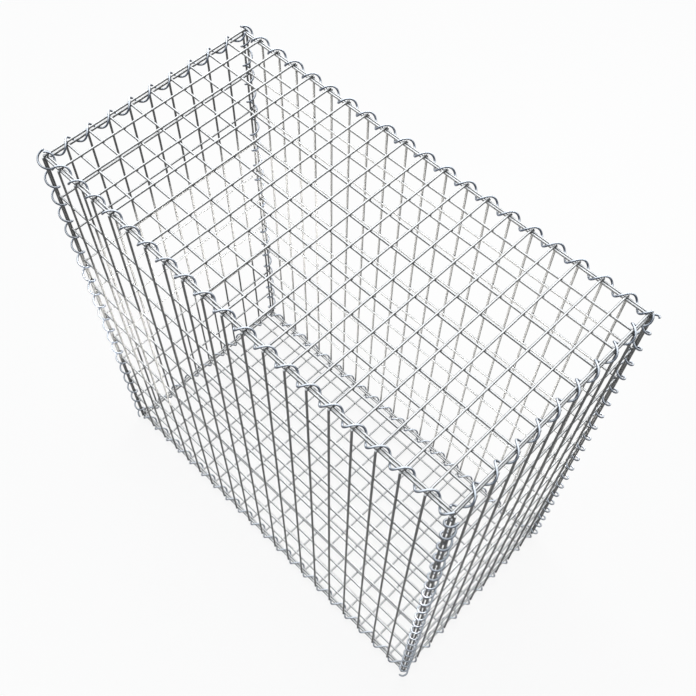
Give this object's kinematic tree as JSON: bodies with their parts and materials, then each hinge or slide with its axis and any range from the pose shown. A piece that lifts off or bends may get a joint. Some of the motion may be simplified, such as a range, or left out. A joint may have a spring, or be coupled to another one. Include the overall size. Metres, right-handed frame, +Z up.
{
  "type": "gabion basket",
  "caption": "Empty box-shaped gabion basket of welded wire mesh with its lid closed, the sheets laced together along every edge by spiral wire binders.",
  "frame": {"origin": "under the middle of the basket, level with the lowest turns of the base binders", "axes": "+X along the long side, +Y from front to back, +Z up through the lid"},
  "size_m": [1.0324, 0.5332, 1.0415],
  "materials": {
    "mesh_wire": "drawn steel wire with a bright zinc coating, slightly dull and cloudy",
    "binder_wire": "drawn steel wire with a bright zinc coating, smoother and a little bluer than the mesh"
  },
  "bodies": {
    "root": {"lid_mesh": "mesh_wire", "base_mesh": "mesh_wire", "front_mesh": "mesh_wire", "back_mesh": "mesh_wire", "left_mesh": "mesh_wire", "right_mesh": "mesh_wire", "binder_top_front": "binder_wire", "binder_top_back": "binder_wire", "binder_top_left": "binder_wire", "binder_top_right": "binder_wire", "binder_base_front": "binder_wire", "binder_base_back": "binder_wire", "binder_base_left": "binder_wire", "binder_base_right": "binder_wire", "binder_front_left": "binder_wire", "binder_front_right": "binder_wire", "binder_back_left": "binder_wire", "binder_back_right": "binder_wire"}
  },
  "joints": []
}
